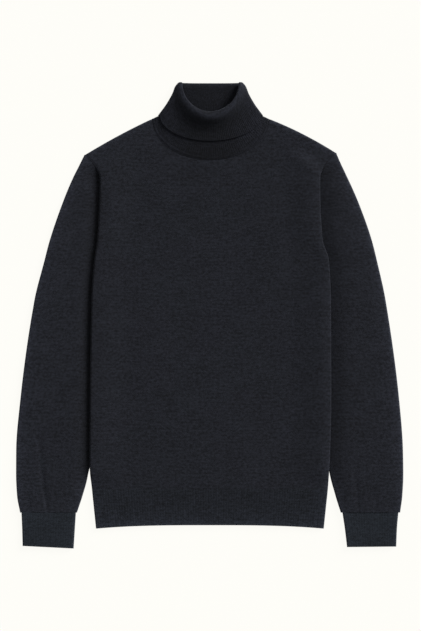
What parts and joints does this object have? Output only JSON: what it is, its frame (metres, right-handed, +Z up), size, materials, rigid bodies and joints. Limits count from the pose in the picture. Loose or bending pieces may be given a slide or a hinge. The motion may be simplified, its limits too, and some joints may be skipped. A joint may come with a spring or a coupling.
{
  "type": "turtleneck sweater",
  "caption": "Fine-knit turtleneck sweater laid flat on its back, sleeves down beside the body, ribbed roll collar, hem and cuffs.",
  "frame": {"origin": "on the surface that the sweater lies on, under the middle of its bounding box", "axes": "+Y from the hem to the collar, +Z up from the surface through the front, +X towards the wearer's left sleeve"},
  "size_m": [0.6444, 0.776, 0.025],
  "materials": {
    "jersey": "matt plain knit, charcoal melange",
    "rib": "matt ribbed knit, charcoal melange"
  },
  "bodies": {
    "root": {"front": "jersey", "back": "jersey", "sleeve_right": "jersey", "sleeve_left": "jersey", "hem_front": "rib", "hem_back": "rib", "cuff_right": "rib", "cuff_left": "rib", "collar": "rib"}
  },
  "joints": []
}
